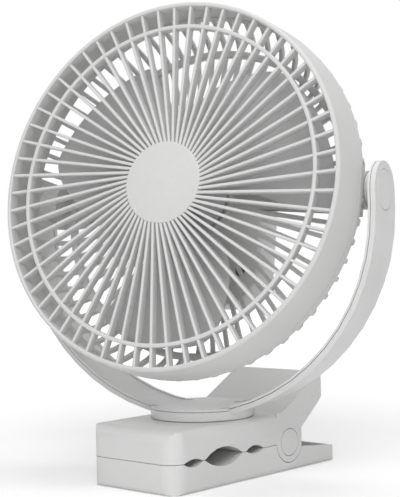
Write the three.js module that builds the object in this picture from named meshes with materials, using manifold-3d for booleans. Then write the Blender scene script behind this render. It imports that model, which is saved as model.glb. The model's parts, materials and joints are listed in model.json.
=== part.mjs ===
// Rechargeable clip fan: a sprung clip carries a turntable and a U-shaped yoke, and the yoke carries
// a deep round fan head with a front grille, three broad blades, a bowl-shaped rear grille and a pod.
//
// Millimetres, +Z up. The clip's jaw tips point along -Y and its flat underside is at Z = 0.
// X = Y = 0 is the turntable's axis. The head has its own frame: its origin is the tilt axis, its
// front faces -Y, and depths are counted backwards from the plane of the front rim.

import * as THREE from 'three';
import { mergeVertices } from 'three/addons/utils/BufferGeometryUtils.js';
import Module from 'manifold-3d';

const wasm = await Module();
wasm.setup();

const DEG = Math.PI / 180;
const GAP = 0.3;                       // between pieces that touch

// ---- Rest pose --------------------------------------------------------------------------------
const YOKE_TURN = 14.5 * DEG;          // yoke turned on the clip
const HEAD_TILT = 11.7 * DEG;          // head tilted up

// ---- Clip -------------------------------------------------------------------------------------
const CLIP_WIDTH = 63;
const CLIP_FRONT = -56.7;              // Y of the jaw tips
const LOWER_REAR = 79.1;               // Y of the lower lever's end
const SPLIT_Z = 15.7;                  // where the jaws meet
const JAW_TOP_Z = 32.6;
const CORNER_R = 10;                   // upright corners at the jaw tips
const TIP_FILLET_R = 7.5;              // front edge of the upper jaw
const TOP_EDGE_R = 3;                  // side edges of the upper jaw's flat top
const LOWER_EDGE_R = 3;
const CLIP_WALL = 2.6;
const PIVOT_Y = 36.7;
const PIVOT_Z = 15.8;
const EAR_R = 11;                      // round ears of the upper jaw about the hinge pin
const EAR_GAP = 0.35;
const LUG_R = 8.5;                     // lugs of the lower jaw, inside the ears
const LUG_THICKNESS = 4;
const PIN_R = 2;
const PIN_CAP_R = 7.4;
// Gripping hollows, from the tips backwards: first and last Y, rise and drop from the split.
const EYES = [
  { front: -48.8, back: -34.6, rise: 1.7, drop: 2.2 },
  { front: -33.2, back: -3.5, rise: 5.0, drop: 4.9 },
  { front: -0.4, back: 13.8, rise: 2.4, drop: 1.8 },
];
const GRIP_THICKNESS = 2.4;
const GRIP_FRONT = -51.4;
const GRIP_BACK = 17;

// ---- Turntable and yoke -------------------------------------------------------------------------
const HUB_R = 28.5;
const NECK_HALF_WIDTH = 19;            // where the shell's band meets the hub
const SWIVEL_BOSS_R = 7.5;
const SWIVEL_HOLE_R = 2.5;
const SWIVEL_WASHER_R = 13;
const SWIVEL_SCREW = { shank: 2, head: 4.5, bottom: 22.6, headHeight: 2, top: 37.2 };
const HUB_BOTTOM_Z = 33.0;
const HUB_TOP_Z = 39.2;
const YOKE_R = 109.2;                  // outside of the half-round part
const YOKE_CENTRE_Z = 142.6;
const COVER_SKIN = 1.2;                // inner cover
const YOKE_THICKNESS = 4.1;
const ARM_HALF_WIDTH = 15;
const REAR_LIP = 2.6;                  // rear edge that the shell folds over the cover
const TILT_Z = 152.3;                  // height of the tilt axis
const ARM_BOSS_R = 10;
const ARM_BOSS_X = 102.4;              // inner end of the boss on each arm
const PIVOT_CAP_R = 10.5;
const PIVOT_CAP_SEAT = 1.6;

// ---- Fan head -----------------------------------------------------------------------------------
const FRONT_Y = -40;                   // front rim, ahead of the tilt axis
const RIM_R = 100;
const RIM_INNER_R = 97.6;
const RING_REAR_R = 102.1;
const RING_DEPTH = 23.3;
const RIB_COUNT = 60;
const RIB_OFFSET = 5.7;                // front ribs run past the centre at this distance
const RIB_PHASE = 4.1 * DEG;
const FRONT_RIB = { width: 1.7, depth: 5, recess: 1 };
const CENTRE_DISC_R = 22.2;
const MID_RING = { outer: 87.5, inner: 85.3 };
const REAR_RIB_WIDTH = 2.4;
const REAR_MID_RING = { outer: 88.8, inner: 84.8 };
const BLADE_COUNT = 3;
const BLADE_R = 85;
const BLADE_THICKNESS = 1.8;
const FAN_HUB_R = 20;
const MOTOR_R = 15.5;
const SHAFT_R = 2;

// ---- Pod at the back of the head ----------------------------------------------------------------
const POD = { halfWidth: 34.5, bottom: -57.3, top: 50, corner: 18, face: 50, back: 78, wall: 2.2 };
const POD_PLATE = 3;
const POD_SCREWS = [[-24.2, -38.9], [24.2, -38.9], [-24.2, 38.9], [24.2, 38.9]];
const BUTTON = { x: 0, z: 28, radius: 7, travel: 1.5 };
const LENS_XS = [-9, -3, 3, 9];
const LENS_Z = 17;
const USB = { z: 22, width: 8.9, height: 3.2, length: 7.3 };
const CELL = { radius: 9.2, length: 65, x: 9.8, bottom: -52 };

const depthToY = (depth) => FRONT_Y + depth;

// ---- Materials ------------------------------------------------------------------------------------
const material = (color, roughness, metalness = 0) =>
  new THREE.MeshStandardMaterial({ color, roughness, metalness });
const SHELL = material(0xdededd, 0.55);
const BLADE = material(0xd2d2d2, 0.45);
const SOFT = material(0xc9c9c8, 0.85);
const RUBBER = material(0x8f9091, 0.9);
const STEEL = material(0xb9bcc0, 0.3, 1);
const BRONZE = material(0xa8824a, 0.4, 1);
const NYLON = material(0xe8e6df, 0.6);
const BOARD = material(0x2f6b45, 0.6);
const CELL_WRAP = material(0x4a8fc4, 0.5);
const LENS = material(0xf2f6f8, 0.2);
const DARK = material(0x2b2c2e, 0.6);

// ---- Solids ---------------------------------------------------------------------------------------

function solid(geometry) {
  const bare = geometry.clone();
  for (const name of Object.keys(bare.attributes)) {
    if (name !== 'position') bare.deleteAttribute(name);
  }
  const merged = mergeVertices(bare, 1e-4);
  const index = merged.index.array;
  const position = merged.attributes.position.array;
  const triangles = [];
  let volume = 0;
  for (let i = 0; i < index.length; i += 3) {
    const [a, b, c] = [index[i], index[i + 1], index[i + 2]];
    if (a === b || b === c || c === a) continue;
    triangles.push(a, b, c);
    const [p, q, r] = [a, b, c].map((v) => new THREE.Vector3().fromArray(position, 3 * v));
    volume += p.dot(q.cross(r));
  }
  if (volume < 0) triangles.reverse();
  return new wasm.Manifold(new wasm.Mesh({
    numProp: 3,
    vertProperties: new Float32Array(position),
    triVerts: new Uint32Array(triangles),
  }));
}

function geometryOf(body) {
  const mesh = body.getMesh();
  const geometry = new THREE.BufferGeometry();
  geometry.setAttribute('position', new THREE.BufferAttribute(new Float32Array(mesh.vertProperties), 3));
  geometry.setIndex(new THREE.BufferAttribute(new Uint32Array(mesh.triVerts), 1));
  geometry.computeVertexNormals();
  return geometry;
}

const ordered = (a, b) => [Math.min(a, b), Math.max(a, b)];
const join = (bodies) => bodies.reduce((all, body) => all.add(body));
const cut = (body, tools) => tools.reduce((left, tool) => left.subtract(tool), body);

function block([x0, x1], [y0, y1], [z0, z1]) {
  const box = new THREE.BoxGeometry(x1 - x0, y1 - y0, z1 - z0);
  return solid(box.translate((x0 + x1) / 2, (y0 + y1) / 2, (z0 + z1) / 2));
}

// A cylinder along an axis, from one coordinate to another, at a place on the other two axes.
function rod(axis, radius, from, to, [u, v] = [0, 0], sides = 20) {
  const geometry = new THREE.CylinderGeometry(radius, radius, to - from, sides);
  geometry.translate(0, (from + to) / 2, 0);
  if (axis === 'x') geometry.rotateZ(-Math.PI / 2).translate(0, u, v);
  if (axis === 'y') geometry.translate(u, 0, v);
  if (axis === 'z') geometry.rotateX(Math.PI / 2).translate(u, v, 0);
  return solid(geometry);
}

// A closed profile of [radius, y] points turned about the Y axis, with facet edges at the phase.
function turned(profile, segments, phase = 0) {
  const points = [...profile, profile[0]].map(([r, y]) => new THREE.Vector2(r, y));
  return solid(new THREE.LatheGeometry(points, segments, Math.PI / 2 - phase));
}

// A profile of [radius, y] points that starts and ends on the Y axis, turned about it.
function turnedSolid(profile, segments, phase = 0) {
  const points = profile.map(([r, y]) => new THREE.Vector2(r, y));
  return solid(new THREE.LatheGeometry(points, segments, Math.PI / 2 - phase));
}

const AXES = {
  x: [[0, 1, 0], [0, 0, 1], [1, 0, 0]],      // outline in Y and Z, pushed along X
  y: [[1, 0, 0], [0, 0, 1], [0, -1, 0]],     // outline in X and Z, pushed along -Y
  z: [[1, 0, 0], [0, 1, 0], [0, 0, 1]],      // outline in X and Y, pushed along Z
};

// A shape pushed along an axis between two coordinates.
function pushed(axis, shape, from, to, curveSegments = 12) {
  const geometry = new THREE.ExtrudeGeometry(shape, {
    depth: to - from, bevelEnabled: false, curveSegments,
  });
  const [u, v, w] = AXES[axis].map((a) => new THREE.Vector3(...a));
  const start = axis === 'y' ? -to : from;
  geometry.translate(0, 0, start);
  geometry.applyMatrix4(new THREE.Matrix4().makeBasis(u, v, w));
  return solid(geometry);
}

function outline(points) {
  return new THREE.Shape(points.map(([u, v]) => new THREE.Vector2(u, v)));
}

// A rectangle with a radius at each corner, in the order low-low, high-low, high-high, low-high.
function roundedRect(u0, u1, v0, v1, [r1, r2, r3, r4]) {
  const shape = new THREE.Shape();
  shape.moveTo(u0 + r1, v0);
  shape.lineTo(u1 - r2, v0);
  if (r2) shape.absarc(u1 - r2, v0 + r2, r2, -Math.PI / 2, 0, false);
  shape.lineTo(u1, v1 - r3);
  if (r3) shape.absarc(u1 - r3, v1 - r3, r3, 0, Math.PI / 2, false);
  shape.lineTo(u0 + r4, v1);
  if (r4) shape.absarc(u0 + r4, v1 - r4, r4, Math.PI / 2, Math.PI, false);
  shape.lineTo(u0, v0 + r1);
  if (r1) shape.absarc(u0 + r1, v0 + r1, r1, Math.PI, 1.5 * Math.PI, false);
  return shape;
}

// Points of the arc from (y0, z) to (y1, z) that rises by rise in the middle.
function archPoints(y0, y1, z, rise, steps) {
  const half = Math.abs(y1 - y0) / 2;
  const radius = (half * half + rise * rise) / (2 * Math.abs(rise));
  const sweep = Math.asin(half / radius);
  const middle = (y0 + y1) / 2;
  const side = Math.sign(y1 - y0);
  return Array.from({ length: steps + 1 }, (_, i) => {
    const angle = sweep * (2 * i / steps - 1);
    const height = radius * Math.cos(angle) - (radius - Math.abs(rise));
    return [middle + side * radius * Math.sin(angle), z + Math.sign(rise) * height];
  });
}

// ---- Scene graph ----------------------------------------------------------------------------------

const fan = new THREE.Group();
const yoke = new THREE.Group();
const head = new THREE.Group();
yoke.rotation.z = YOKE_TURN;
head.position.z = TILT_Z;
head.rotation.x = -HEAD_TILT;
fan.add(yoke);
yoke.add(head);

function piece(group, name, body, look) {
  const mesh = new THREE.Mesh(geometryOf(body), look);
  mesh.name = name;
  group.add(mesh);
}

// ---- Clip: the two jaws ---------------------------------------------------------------------------

const HALF_CLIP = CLIP_WIDTH / 2;
const INSIDE = HALF_CLIP - CLIP_WALL;
const EYE_STEPS = 6;

// The gripping line of a jaw from the back forwards, with the hollows on the given side of the split.
function gripLine(z, side, back, front) {
  const points = [[back, z]];
  for (const eye of [...EYES].reverse()) {
    const height = side > 0 ? eye.rise : -eye.drop;
    points.push(...archPoints(eye.back, eye.front, z, height, EYE_STEPS));
  }
  points.push([front, z]);
  return points;
}

// Cross ribs that carry the grips, with the clear height that each leaves at the split.
const CROSS_RIBS = [{ y: -40, clear: 5.4 }, { y: -12, clear: 9.6 }, { y: 8, clear: 5.4 }];
const CROSS_RIB_THICKNESS = 2;
const SINK = 0.5;                      // how far a rib or boss runs into the wall that carries it

function crossRib(y, z0, z1) {
  return block([-INSIDE - SINK, INSIDE + SINK], [y, y + CROSS_RIB_THICKNESS], [z0, z1]);
}

// Lever of the upper jaw, seen from the side.
const LEVER_ROOT = [31, JAW_TOP_Z];
const LEVER_TOP = [68, 53.6];
const LEVER_END = [72.2, 44.2];
const LEVER_UNDER = [66.6, 37.4];
const JAW_BACK = 47.7;
const JAW_BACK_TOP = 22.7;

function upperSide() {
  const shape = new THREE.Shape();
  const line = gripLine(SPLIT_Z + GAP / 2, 1, PIVOT_Y - EAR_R, CLIP_FRONT);
  shape.moveTo(...line[0]);
  for (const point of line.slice(1)) shape.lineTo(...point);
  shape.lineTo(CLIP_FRONT, JAW_TOP_Z - TIP_FILLET_R);
  shape.absarc(CLIP_FRONT + TIP_FILLET_R, JAW_TOP_Z - TIP_FILLET_R, TIP_FILLET_R,
    Math.PI, Math.PI / 2, true);
  shape.lineTo(LEVER_ROOT[0] - 5, LEVER_ROOT[1]);
  shape.quadraticCurveTo(...LEVER_ROOT, LEVER_ROOT[0] + 4.3, LEVER_ROOT[1] + 2.6);
  shape.lineTo(LEVER_TOP[0] - 2.6, LEVER_TOP[1] - 1.6);
  shape.quadraticCurveTo(...LEVER_TOP, LEVER_TOP[0] + 1.4, LEVER_TOP[1] - 3);
  shape.lineTo(LEVER_END[0] - 0.6, LEVER_END[1] + 1.4);
  shape.quadraticCurveTo(LEVER_END[0] + 1.5, LEVER_UNDER[1] + 2.6, ...LEVER_UNDER);
  shape.lineTo(JAW_BACK, JAW_BACK_TOP);
  shape.lineTo(JAW_BACK, PIVOT_Z);
  shape.absarc(PIVOT_Y, PIVOT_Z, EAR_R, 0, Math.PI, true);
  return shape;
}

// Front view of the upper jaw: a flat top with rounded side edges.
const jawSection = () =>
  roundedRect(-HALF_CLIP, HALF_CLIP, 0, JAW_TOP_Z, [0, 0, TOP_EDGE_R, TOP_EDGE_R]);

function buildUpperJaw() {
  const leverHeight = 60;
  const plan = roundedRect(-HALF_CLIP, HALF_CLIP, CLIP_FRONT, LEVER_END[0] + 1,
    [CORNER_R, CORNER_R, 9, 9]);
  const rounding = join([
    pushed('y', jawSection(), CLIP_FRONT - 1, LEVER_ROOT[0] - 5, 3),
    block([-HALF_CLIP, HALF_CLIP], [LEVER_ROOT[0] - 5.01, LOWER_REAR], [0, leverHeight]),
  ]);
  const body = pushed('x', upperSide(), -HALF_CLIP, HALF_CLIP, 5)
    .intersect(pushed('z', plan, 0, leverHeight, 3))
    .intersect(rounding);

  // Hollow between the side walls, open downwards and under the lever.
  const roof = JAW_TOP_Z - CLIP_WALL - 0.4;
  const hollow = outline([
    [CLIP_FRONT + CLIP_WALL, 0], [LOWER_REAR, 0], [LOWER_REAR, 34],
    [LEVER_UNDER[0] + 0.2, LEVER_UNDER[1]], [LEVER_TOP[0] - 1.2, LEVER_TOP[1] - 6.4],
    [LEVER_TOP[0] - 3, LEVER_TOP[1] - 5.1], [LEVER_ROOT[0] + 1.2, roof],
    [CLIP_FRONT + TIP_FILLET_R, roof], [CLIP_FRONT + CLIP_WALL + 1.6, roof - 5],
    [CLIP_FRONT + CLIP_WALL, roof - 9],
  ]);
  const hollowPlan = roundedRect(-INSIDE, INSIDE, CLIP_FRONT + CLIP_WALL, LOWER_REAR,
    [CORNER_R - CLIP_WALL, CORNER_R - CLIP_WALL, 0, 0]);
  const inside = pushed('x', hollow, -INSIDE, INSIDE)
    .intersect(pushed('z', hollowPlan, -1, leverHeight, 2));

  // Cross ribs carry the grip, and a boss under the top carries the turntable's screw.
  const ribs = CROSS_RIBS.map(({ y, clear }) => crossRib(y, SPLIT_Z + clear, roof + SINK));
  const boss = rod('z', SWIVEL_BOSS_R, roof - 2, JAW_TOP_Z - SINK);
  const caps = [-1, 1].map((side) => pinCapSeat(side, GAP));
  return cut(join([body.subtract(inside), ...ribs, boss]), [
    rod('z', SWIVEL_HOLE_R, 0, leverHeight), pinHole(), ...caps,
  ]);
}

const pinHole = () =>
  rod('x', PIN_R + 0.1, -CLIP_WIDTH, CLIP_WIDTH, [PIVOT_Y, PIVOT_Z], 16);

const PIN_CAP_DEPTH = 1.4;

function pinCapSeat(side, clearance) {
  const inner = HALF_CLIP - PIN_CAP_DEPTH - (clearance ? clearance : 0);
  const outer = HALF_CLIP + (clearance ? 1 : 0.25);
  const [from, to] = side > 0 ? [inner, outer] : [-outer, -inner];
  return rod('x', PIN_CAP_R + clearance, from, to, [PIVOT_Y, PIVOT_Z], 32);
}

function lowerSide() {
  const shape = new THREE.Shape();
  shape.moveTo(CLIP_FRONT + LOWER_EDGE_R, 0);
  shape.lineTo(LOWER_REAR - 1.5, 0);
  shape.lineTo(LOWER_REAR, 1.5);
  shape.lineTo(LOWER_REAR, 8.8);
  shape.lineTo(JAW_BACK, 12);
  shape.lineTo(PIVOT_Y, 12);
  shape.lineTo(PIVOT_Y, SPLIT_Z - GAP / 2);
  const line = gripLine(SPLIT_Z - GAP / 2, -1, PIVOT_Y - 1, CLIP_FRONT);
  for (const point of line) shape.lineTo(...point);
  shape.lineTo(CLIP_FRONT, LOWER_EDGE_R);
  shape.absarc(CLIP_FRONT + LOWER_EDGE_R, LOWER_EDGE_R, LOWER_EDGE_R, Math.PI, 1.5 * Math.PI, false);
  return shape;
}

const FEET = [[CLIP_FRONT + 7, -24], [46, 72]];        // Y ranges of the two foot pads
const FOOT_HALF_WIDTH = 21;
const FOOT_DEPTH = 1.5;

function footPlan(y0, y1, inset) {
  const r = 4 - inset;
  return roundedRect(-FOOT_HALF_WIDTH + inset, FOOT_HALF_WIDTH - inset, y0 + inset, y1 - inset,
    [r, r, r, r]);
}

function buildLowerJaw() {
  const height = 30;
  const plan = roundedRect(-HALF_CLIP, HALF_CLIP, CLIP_FRONT, LOWER_REAR, [CORNER_R, CORNER_R, 4, 4]);
  const section = roundedRect(-HALF_CLIP, HALF_CLIP, 0, height, [LOWER_EDGE_R, LOWER_EDGE_R, 0, 0]);
  const body = pushed('x', lowerSide(), -HALF_CLIP, HALF_CLIP, 2)
    .intersect(pushed('z', plan, -1, height, 3))
    .intersect(pushed('y', section, CLIP_FRONT - 1, LOWER_REAR + 1, 2));
  const floor = CLIP_WALL + 1;
  const hollowPlan = roundedRect(-INSIDE, INSIDE, CLIP_FRONT + CLIP_WALL, LOWER_REAR - CLIP_WALL,
    [CORNER_R - CLIP_WALL, CORNER_R - CLIP_WALL, 2, 2]);
  const inside = pushed('z', hollowPlan, floor, height, 2);
  const ribs = CROSS_RIBS.map(({ y, clear }) => crossRib(y, floor - SINK, SPLIT_Z - clear));

  // Lugs stand inside the upper jaw's ears and hold the pin.
  const lugs = [-1, 1].map((side) => {
    const [x0, x1] = ordered(side * (INSIDE - 0.5), side * (INSIDE - LUG_THICKNESS));
    return join([
      rod('x', LUG_R, x0, x1, [PIVOT_Y, PIVOT_Z], 32),
      block([x0, x1], [PIVOT_Y - LUG_R, PIVOT_Y + LUG_R], [floor - SINK, PIVOT_Z]),
    ]);
  });
  const ears = [-1, 1].map((side) => {
    const [x0, x1] = ordered(side * (INSIDE - EAR_GAP), side * CLIP_WIDTH);
    return rod('x', EAR_R + EAR_GAP, x0, x1, [PIVOT_Y, PIVOT_Z], 32);
  });
  const feet = FEET.map(([y0, y1]) => pushed('z', footPlan(y0, y1, 0), -1, FOOT_DEPTH + GAP, 2));
  return cut(join([body.subtract(inside), ...ribs, ...lugs]), [
    ...ears, pinHole(), ...feet,
  ]);
}

function buildGrip(side) {
  const z = SPLIT_Z + side * GAP / 2;
  const facing = gripLine(z, side, GRIP_BACK, GRIP_FRONT);
  const back = gripLine(z + side * GRIP_THICKNESS, side, GRIP_BACK, GRIP_FRONT).reverse();
  const width = INSIDE - GAP;
  const plan = roundedRect(-width, width, CLIP_FRONT + CLIP_WALL + GAP, GRIP_BACK + 1,
    [CORNER_R - CLIP_WALL, CORNER_R - CLIP_WALL, 0, 0]);
  return pushed('x', outline([...facing, ...back]), -width, width)
    .intersect(pushed('z', plan, 0, 40, 2));
}

piece(fan, 'lower_jaw', buildLowerJaw(), SHELL);
piece(fan, 'lower_grip', buildGrip(-1), SOFT);
piece(fan, 'upper_jaw', buildUpperJaw(), SHELL);
piece(fan, 'upper_grip', buildGrip(1), SOFT);
['foot_pad_front', 'foot_pad_rear'].forEach((name, i) => {
  const [y0, y1] = FEET[i];
  piece(fan, name, pushed('z', footPlan(y0, y1, 0.25), 0, FOOT_DEPTH, 2), RUBBER);
});

// ---- Clip: hinge ----------------------------------------------------------------------------------

piece(fan, 'hinge_pin', rod('x', PIN_R, -HALF_CLIP + 2.2, HALF_CLIP - 2.2, [PIVOT_Y, PIVOT_Z], 16), STEEL);
piece(fan, 'pin_cap_left', pinCapSeat(-1, 0), SHELL);
piece(fan, 'pin_cap_right', pinCapSeat(1, 0), SHELL);

// Torsion spring: a leg, turns about the pin, and a second leg, in one wire.
class SpringWire extends THREE.Curve {
  constructor(radius, pitch, turns, startAngle, endAngle, leg) {
    super();
    Object.assign(this, { radius, pitch, startAngle, leg });
    this.sweep = turns * 2 * Math.PI + endAngle - startAngle;
    this.coil = this.sweep * radius;
    this.total = this.coil + 2 * leg;
  }

  onCoil(angle) {
    const x = this.pitch * (angle - this.startAngle - this.sweep / 2) / (2 * Math.PI);
    return new THREE.Vector3(x, this.radius * Math.cos(angle), this.radius * Math.sin(angle));
  }

  getPoint(t) {
    const along = t * this.total - this.leg;
    const angle = this.startAngle + THREE.MathUtils.clamp(along / this.radius, 0, this.sweep);
    const tangent = new THREE.Vector3(0, -Math.sin(angle), Math.cos(angle));
    const over = Math.min(along, 0) + Math.max(along - this.coil, 0);
    return this.onCoil(angle).addScaledVector(tangent, over);
  }
}

const SPRING = { wire: 0.9, radius: 4.6, pitch: 2.4, turns: 4, leg: 27 };
const SPRING_UPPER_SLOPE = 18 * DEG;   // upper leg as it lies with the lever pressed
const SPRING_LOWER_SLOPE = 13 * DEG;

function buildSpring() {
  // Both legs leave backwards: one up under the lever, one down to the lower jaw's floor.
  const startAngle = Math.PI / 2 + SPRING_UPPER_SLOPE;
  const endAngle = 1.5 * Math.PI - SPRING_LOWER_SLOPE;
  const path = new SpringWire(SPRING.radius, SPRING.pitch, SPRING.turns, startAngle, endAngle, SPRING.leg);
  const section = new THREE.Shape();
  section.absarc(0, 0, SPRING.wire, 0, 2 * Math.PI, false);
  const geometry = new THREE.ExtrudeGeometry(section, {
    steps: 48, curveSegments: 3, bevelEnabled: false, extrudePath: path,
  });
  return solid(geometry.translate(0, PIVOT_Y, PIVOT_Z));
}
piece(fan, 'clip_spring', buildSpring(), STEEL);

// ---- Turntable ------------------------------------------------------------------------------------

const swivelWasher = rod('z', SWIVEL_WASHER_R, JAW_TOP_Z + GAP, JAW_TOP_Z + 1.2, [0, 0], 32)
  .subtract(rod('z', SWIVEL_HOLE_R + 0.1, 0, HUB_TOP_Z));
piece(fan, 'swivel_washer', swivelWasher, NYLON);
const screwSeatZ = SWIVEL_SCREW.bottom + SWIVEL_SCREW.headHeight;
piece(fan, 'swivel_spring_washer', rod('z', 6, screwSeatZ + GAP, screwSeatZ + 2.3)
  .subtract(rod('z', SWIVEL_HOLE_R, 0, HUB_TOP_Z)), STEEL);
piece(yoke, 'swivel_screw', join([
  rod('z', SWIVEL_SCREW.head, SWIVEL_SCREW.bottom, screwSeatZ),
  rod('z', SWIVEL_SCREW.shank, screwSeatZ - 1, SWIVEL_SCREW.top, [0, 0], 24),
]), STEEL);

// ---- Yoke -----------------------------------------------------------------------------------------

// A U-shaped band between two radii, its ends standing straight up to the given height.
function bandShape(outerR, innerR, top) {
  const shape = new THREE.Shape();
  shape.moveTo(-outerR, top);
  shape.lineTo(-outerR, YOKE_CENTRE_Z);
  shape.absarc(0, YOKE_CENTRE_Z, outerR, Math.PI, 2 * Math.PI, false);
  shape.lineTo(outerR, top);
  shape.lineTo(innerR, top);
  shape.lineTo(innerR, YOKE_CENTRE_Z);
  shape.absarc(0, YOKE_CENTRE_Z, innerR, 2 * Math.PI, Math.PI, true);
  shape.lineTo(-innerR, top);
  return shape;
}

const COVER_OUTER_R = YOKE_R - YOKE_THICKNESS + COVER_SKIN;
const YOKE_INNER_R = YOKE_R - YOKE_THICKNESS;
const BAND_SEGMENTS = 13;

// Side view that rounds the arms' tops.
function armSide(halfWidth) {
  const shape = new THREE.Shape();
  shape.moveTo(-halfWidth, 20);
  shape.lineTo(halfWidth, 20);
  shape.lineTo(halfWidth, TILT_Z);
  shape.absarc(0, TILT_Z, halfWidth, 0, Math.PI, false);
  return shape;
}

function mirrored(build) {
  return [-1, 1].map((side) => {
    const along = (radius, from, to, sides) => {
      const [x0, x1] = ordered(side * from, side * to);
      return rod('x', radius, x0, x1, [0, TILT_Z], sides);
    };
    return build(along);
  });
}

function buildYokeShell() {
  const armTop = TILT_Z + ARM_HALF_WIDTH + 1;
  const outer = pushed('y', bandShape(YOKE_R, COVER_OUTER_R + GAP, armTop),
    -ARM_HALF_WIDTH, ARM_HALF_WIDTH, BAND_SEGMENTS);
  const lip = pushed('y', bandShape(YOKE_R - 1, YOKE_INNER_R - 0.5, armTop),
    ARM_HALF_WIDTH - REAR_LIP, ARM_HALF_WIDTH, BAND_SEGMENTS);
  const band = join([outer, lip])
    .intersect(pushed('x', armSide(ARM_HALF_WIDTH), -YOKE_R - 1, YOKE_R + 1, 6));
  const plateZ = HUB_TOP_Z - COVER_SKIN - GAP;
  const hub = rod('z', HUB_R, HUB_BOTTOM_Z, plateZ, [0, 0], 48);
  const bosses = mirrored((along) => along(ARM_BOSS_R, ARM_BOSS_X, YOKE_R - 1, 24));
  const overHub = rod('z', HUB_R + GAP, plateZ, HUB_TOP_Z + 6, [0, 0], 48)
    .intersect(block([-NECK_HALF_WIDTH, NECK_HALF_WIDTH], [-40, 40], [plateZ - 1, HUB_TOP_Z + 7]));
  const seats = mirrored((along) => along(PIVOT_CAP_R + 0.25, YOKE_R - PIVOT_CAP_SEAT, YOKE_R + 1, 32));
  const heads = mirrored((along) => along(5.3, ARM_BOSS_X + 2, YOKE_R, 12));
  const holes = mirrored((along) => along(2.6, ARM_BOSS_X - 1, YOKE_R, 10));
  return cut(join([band.subtract(overHub), hub, ...bosses]), [
    rod('z', SWIVEL_WASHER_R + GAP, 20, HUB_BOTTOM_Z + 1.1, [0, 0], 32),
    rod('z', SWIVEL_SCREW.shank + 0.1, 20, SWIVEL_SCREW.top + 0.2, [0, 0], 24),
    ...seats, ...heads, ...holes,
  ]);
}

function buildYokeCover() {
  const armTop = TILT_Z + ARM_HALF_WIDTH + 1;
  const skin = pushed('y', bandShape(COVER_OUTER_R, YOKE_INNER_R, armTop),
    -ARM_HALF_WIDTH, ARM_HALF_WIDTH - REAR_LIP - GAP, BAND_SEGMENTS)
    .intersect(pushed('x', armSide(ARM_HALF_WIDTH), -YOKE_R, YOKE_R, 6));
  const underPlate = rod('z', HUB_R, 30, HUB_TOP_Z - COVER_SKIN, [0, 0], 48);
  const plate = rod('z', HUB_R, HUB_TOP_Z - COVER_SKIN, HUB_TOP_Z, [0, 0], 48);
  const lip = pushed('y', bandShape(YOKE_R, YOKE_INNER_R - 0.5 - GAP, armTop),
    ARM_HALF_WIDTH - REAR_LIP - GAP, ARM_HALF_WIDTH + GAP, BAND_SEGMENTS);
  const shellBand = pushed('y', bandShape(YOKE_R + 1, COVER_OUTER_R + 0.05, armTop),
    -ARM_HALF_WIDTH - GAP, ARM_HALF_WIDTH + GAP, BAND_SEGMENTS)
    .subtract(block([GAP - NECK_HALF_WIDTH, NECK_HALF_WIDTH - GAP], [-40, 40], [20, 60]));
  const bosses = mirrored((along) => along(ARM_BOSS_R + GAP, ARM_BOSS_X - 3, YOKE_R, 24));
  return cut(join([skin.subtract(underPlate), plate.subtract(lip).subtract(shellBand)]), bosses);
}

piece(yoke, 'yoke_shell', buildYokeShell(), SHELL);
piece(yoke, 'yoke_cover', buildYokeCover(), SHELL);

// Tilt pivots: cap, screw and friction washer on each arm.
const PIVOT_SCREW_TIP = 92;
const pivotCaps = mirrored((along) => along(PIVOT_CAP_R, YOKE_R - PIVOT_CAP_SEAT + GAP, YOKE_R + 0.2, 32));
const pivotScrews = mirrored((along) => join([
  along(5, ARM_BOSS_X + 2 + GAP, ARM_BOSS_X + 4.4, 12),
  along(2.2, PIVOT_SCREW_TIP, ARM_BOSS_X + 3, 10),
]));
const frictionWashers = mirrored((along) =>
  along(9.4, ARM_BOSS_X - 1.1, ARM_BOSS_X - GAP, 20).subtract(along(2.7, 90, 110, 10)));
['left', 'right'].forEach((side, i) => {
  piece(yoke, `pivot_cap_${side}`, pivotCaps[i], SHELL);
  piece(yoke, `pivot_screw_${side}`, pivotScrews[i], STEEL);
  piece(yoke, `friction_washer_${side}`, frictionWashers[i], NYLON);
});

// ---- Head: front guard ------------------------------------------------------------------------------

function radialCopies(count, phase, make) {
  return Array.from({ length: count }, (_, i) => make(phase + i * 2 * Math.PI / count));
}

// Deep rim, straight ribs that run past the centre, a ring halfway and a plain disc, in one moulding.
function buildFrontGuard() {
  const rear = depthToY(RING_DEPTH);
  const front = FRONT_Y + FRONT_RIB.recess;
  const back = front + FRONT_RIB.depth;
  const start = CENTRE_DISC_R - 3;
  const end = RIM_INNER_R + 0.6;
  // Polar angle of the ribs at a radius, so that the rings' facets meet inside the ribs.
  const phaseAt = (radius) => RIB_PHASE - Math.asin(RIB_OFFSET / radius);
  const ribs = radialCopies(RIB_COUNT, RIB_PHASE, (angle) => {
    const rib = new THREE.BoxGeometry(end - start, FRONT_RIB.depth, FRONT_RIB.width);
    rib.translate((start + end) / 2, (front + back) / 2, -RIB_OFFSET).rotateY(-angle);
    return solid(rib);
  });
  const rim = turned([
    [RIM_INNER_R, FRONT_Y + 0.6], [RIM_INNER_R + 0.6, FRONT_Y], [RIM_R - 0.9, FRONT_Y],
    [RIM_R, FRONT_Y + 0.9], [RING_REAR_R, rear - 0.8], [RING_REAR_R - 0.6, rear],
    [RING_REAR_R - 2.3, rear], [RIM_INNER_R, back + 0.4],
  ], RIB_COUNT, phaseAt(RIM_INNER_R));
  const midRing = turned([
    [MID_RING.inner, front - 0.3], [MID_RING.outer, front - 0.3],
    [MID_RING.outer, back - 0.4], [MID_RING.inner, back - 0.4],
  ], RIB_COUNT, phaseAt(MID_RING.inner));
  const disc = turnedSolid([
    [0, back + 0.3], [CENTRE_DISC_R, back + 0.3], [CENTRE_DISC_R, front],
    [CENTRE_DISC_R - 0.8, front - 0.4], [0, front - 0.4],
  ], RIB_COUNT, phaseAt(CENTRE_DISC_R));
  return join([wasm.Manifold.union(ribs), rim, midRing, disc]);
}

piece(head, 'front_guard', buildFrontGuard(), SHELL);

// ---- Head: rear grille ------------------------------------------------------------------------------

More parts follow.
